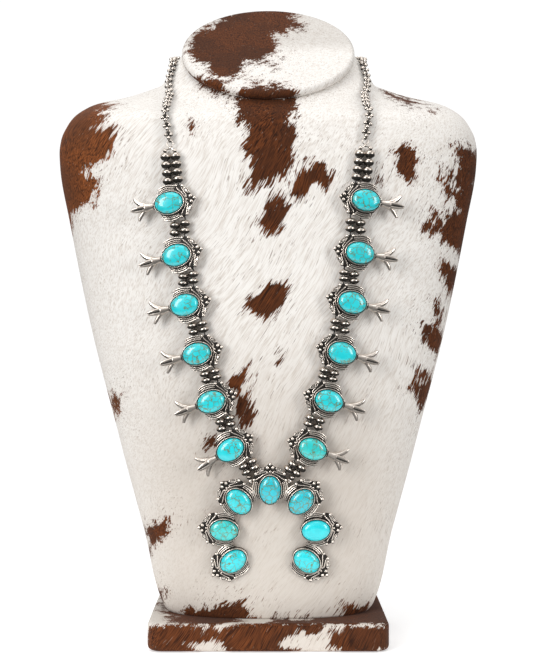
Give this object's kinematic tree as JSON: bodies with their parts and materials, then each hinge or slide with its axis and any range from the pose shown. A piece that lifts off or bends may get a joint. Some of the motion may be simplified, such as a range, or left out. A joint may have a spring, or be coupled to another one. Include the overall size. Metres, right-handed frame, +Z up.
{
  "type": "squash blossom necklace on a neck bust",
  "caption": "Silver bead necklace with turquoise blossom settings and a horseshoe pendant, laid over a plain hide-covered neck bust.",
  "frame": {"origin": "middle of the base board's underside", "axes": "+Z up, +Y to the back of the bust, +X to the right as seen from the front"},
  "size_m": [0.252, 0.1016, 0.384],
  "materials": {
    "hide": "short hair-on cowhide, off-white with brown patches",
    "silver": "polished silver with black oxidised recesses",
    "turquoise": "polished stone with brown matrix",
    "bead_silver": "darkened silver with worn bright tops",
    "thread": "dark waxed stringing cord"
  },
  "bodies": {
    "root": {"base_board": "hide", "bust_torso": "hide", "bust_cap": "hide", "crescent": "silver", "clasp": "silver", "blossom_left_1": "silver", "blossom_left_2": "silver", "blossom_left_3": "silver", "blossom_left_4": "silver", "blossom_left_5": "silver", "blossom_left_6": "silver", "blossom_right_1": "silver", "blossom_right_2": "silver", "blossom_right_3": "silver", "blossom_right_4": "silver", "blossom_right_5": "silver", "blossom_right_6": "silver", "chain_left": "silver", "chain_right": "silver", "joiner_left": "silver", "joiner_right": "silver", "stone_left_1": "turquoise", "stone_left_2": "turquoise", "stone_left_3": "turquoise", "stone_left_4": "turquoise", "stone_left_5": "turquoise", "stone_left_6": "turquoise", "stone_right_1": "turquoise", "stone_right_2": "turquoise", "stone_right_3": "turquoise", "stone_right_4": "turquoise", "stone_right_5": "turquoise", "stone_right_6": "turquoise", "crescent_stone_1": "turquoise", "crescent_stone_2": "turquoise", "crescent_stone_3": "turquoise", "crescent_stone_4": "turquoise", "crescent_stone_5": "turquoise", "crescent_stone_6": "turquoise", "crescent_stone_7": "turquoise", "beads_left_outer": "bead_silver", "beads_left_inner": "bead_silver", "beads_right_outer": "bead_silver", "beads_right_inner": "bead_silver", "thread_left_outer": "thread", "thread_left_inner": "thread", "thread_right_outer": "thread", "thread_right_inner": "thread"}
  },
  "joints": []
}
